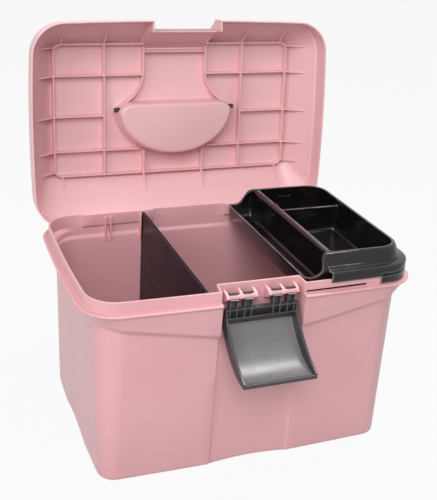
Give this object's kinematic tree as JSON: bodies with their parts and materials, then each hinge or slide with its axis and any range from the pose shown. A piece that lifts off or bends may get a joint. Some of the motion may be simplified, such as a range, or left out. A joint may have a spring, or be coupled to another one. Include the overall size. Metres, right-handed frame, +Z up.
{
  "type": "horse grooming box",
  "caption": "Moulded plastic grooming box with a hinged lid, front clasp, folding carrying handle, lift-out divider and lift-out tray.",
  "frame": {"origin": "centre of the base's underside, on the ground", "axes": "+Z up, +X to the right of someone who faces the clasp, -Y toward the front with the clasp"},
  "size_m": [0.4, 0.4058, 0.4602],
  "materials": {
    "pink_plastic": "satin",
    "black_gloss": "gloss",
    "black_matte": "fine grain",
    "plum_black": "satin",
    "steel": "plain"
  },
  "bodies": {
    "tub": {"tub": "pink_plastic", "hinge_pin_left": "steel", "hinge_pin_right": "steel"},
    "lid": {"lid": "pink_plastic"},
    "clasp": {"clasp": "black_matte"},
    "handle": {"handle": "black_matte"},
    "divider": {"divider": "plum_black"},
    "tray": {"tray": "black_gloss"}
  },
  "joints": [
    {"name": "lid_hinge", "type": "hinge", "parent": "tub", "child": "lid", "pos_m": [0, 0.1282, 0.2022], "axis": [-1, 0, 0], "range_deg": [-95, 0]},
    {"name": "clasp_hinge", "type": "hinge", "parent": "tub", "child": "clasp", "pos_m": [0, -0.121, 0.215], "axis": [1, 0, 0], "range_deg": [-167, 0]},
    {"name": "handle_hinge", "type": "hinge", "parent": "lid", "child": "handle", "pos_m": [0, 0.198, 0.33683], "axis": [1, 0, 0], "range_deg": [0, 95]},
    {"name": "divider_lift", "type": "slide", "parent": "tub", "child": "divider", "axis": [0, 0, 1], "range_m": [0, 0.22]},
    {"name": "tray_lift", "type": "slide", "parent": "tub", "child": "tray", "axis": [0, 0, 1], "range_m": [0, 0.07]}
  ]
}
